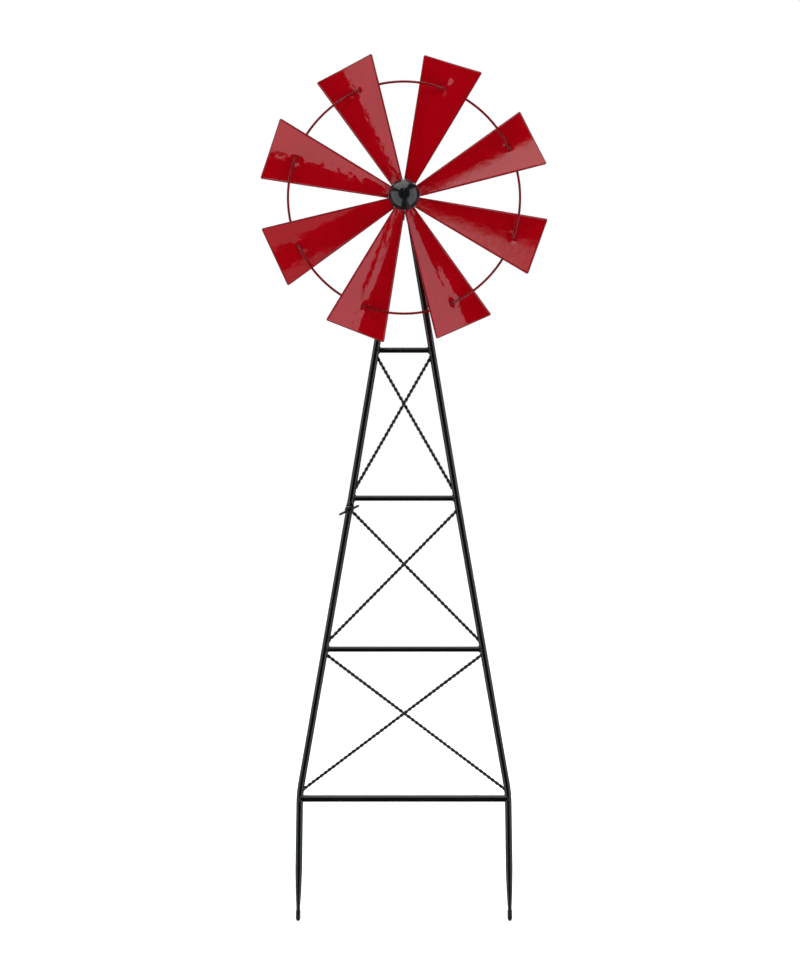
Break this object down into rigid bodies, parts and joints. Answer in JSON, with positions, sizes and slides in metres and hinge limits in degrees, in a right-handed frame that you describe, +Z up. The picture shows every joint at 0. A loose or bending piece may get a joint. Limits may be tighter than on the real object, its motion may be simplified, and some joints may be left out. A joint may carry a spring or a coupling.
{
  "type": "garden windmill",
  "caption": "Ornamental garden windmill: a red bladed wheel on ball bearings, on an axle at the top of a black braced tube tower with two ground stakes.",
  "frame": {"origin": "on the ground line, midway between the two stakes, where the step bar's underside meets the soil", "axes": "+Z up the tower; the wheel faces -Y; +X to the right as seen from the front"},
  "size_m": [0.5012, 0.1247, 1.5158],
  "materials": {
    "red_paint": "high-gloss red enamel over sheet and wire steel",
    "black_paint": "semi-gloss black powder coat over steel tube",
    "black_hardware": "black-coated wing nut and washer",
    "ball_gloss": "polished black ball",
    "bearing_steel": "ground bearing steel",
    "pressed_steel": "pressed sheet steel",
    "spring_steel": "dark phosphated spring steel",
    "zinc_plate": "bright zinc plate"
  },
  "bodies": {
    "tower": {"lower_leg_left": "black_paint", "lower_leg_right": "black_paint", "step_bar": "black_paint", "middle_bar": "black_paint", "upper_leg_left": "black_paint", "upper_leg_right": "black_paint", "upper_bar_low": "black_paint", "upper_bar_high": "black_paint", "joint_spigot": "black_paint", "joint_stud": "black_paint", "axle": "black_paint", "rear_spacer": "zinc_plate", "inner_spacer": "zinc_plate", "front_bearing_inner_ring": "bearing_steel", "rear_bearing_inner_ring": "bearing_steel", "lower_brace_top_a": "black_paint", "lower_brace_top_b": "black_paint", "lower_brace_bottom_a": "black_paint", "lower_brace_bottom_b": "black_paint", "upper_brace_a": "black_paint", "upper_brace_b": "black_paint"},
    "rotor": {"hub_tube": "red_paint", "blade_1": "red_paint", "blade_2": "red_paint", "blade_3": "red_paint", "blade_4": "red_paint", "blade_5": "red_paint", "blade_6": "red_paint", "blade_7": "red_paint", "blade_8": "red_paint", "rim_arc_1": "red_paint", "rim_arc_2": "red_paint", "rim_arc_3": "red_paint", "rim_arc_4": "red_paint", "rim_arc_5": "red_paint", "rim_arc_6": "red_paint", "rim_arc_7": "red_paint", "rim_arc_8": "red_paint", "front_bearing_outer_ring": "bearing_steel", "rear_bearing_outer_ring": "bearing_steel", "front_bearing_shields": "pressed_steel", "rear_bearing_shields": "pressed_steel", "front_circlip": "spring_steel", "rear_circlip": "spring_steel", "outer_spacer": "zinc_plate"},
    "front_cage": {"front_bearing_cage": "pressed_steel", "front_bearing_balls": "bearing_steel"},
    "rear_cage": {"rear_bearing_cage": "pressed_steel", "rear_bearing_balls": "bearing_steel"},
    "axle_washer": {"axle_washer": "zinc_plate"},
    "ball_nut": {"ball_nut": "ball_gloss"},
    "joint_washer": {"joint_washer": "black_hardware"},
    "wing_nut": {"wing_nut": "black_hardware"}
  },
  "joints": [
    {"name": "rotor_spin", "type": "hinge", "parent": "tower", "child": "rotor", "pos_m": [0, -0.0445, 1.0568], "axis": [0, -1, 0], "continuous": true},
    {"name": "front_cage_spin", "type": "hinge", "parent": "tower", "child": "front_cage", "pos_m": [0, -0.0555, 1.0568], "axis": [0, -1, 0], "continuous": true},
    {"name": "rear_cage_spin", "type": "hinge", "parent": "tower", "child": "rear_cage", "pos_m": [0, -0.0335, 1.0568], "axis": [0, -1, 0], "continuous": true},
    {"name": "axle_washer_slide", "type": "slide", "parent": "tower", "child": "axle_washer", "axis": [0, -1, 0], "range_m": [0, 0.0061]},
    {"name": "ball_nut_turn", "type": "hinge", "parent": "axle_washer", "child": "ball_nut", "pos_m": [0, -0.0629, 1.0568], "axis": [0, -1, 0], "range_deg": [0, 1440]},
    {"name": "joint_washer_slide", "type": "slide", "parent": "tower", "child": "joint_washer", "axis": [0, -1, 0], "range_m": [0, 0.0051]},
    {"name": "wing_nut_turn", "type": "hinge", "parent": "joint_washer", "child": "wing_nut", "pos_m": [-0.09602, -0.0103, 0.5126], "axis": [0, -1, 0], "range_deg": [0, 1440]}
  ],
  "couplings": [
    {"joint": "front_cage_spin", "follows": "rotor_spin", "ratio": 0.6416},
    {"joint": "rear_cage_spin", "follows": "rotor_spin", "ratio": 0.6416},
    {"joint": "axle_washer_slide", "follows": "ball_nut_turn", "m_per_rad": 0.00023873},
    {"joint": "joint_washer_slide", "follows": "wing_nut_turn", "m_per_rad": 0.00019894}
  ]
}
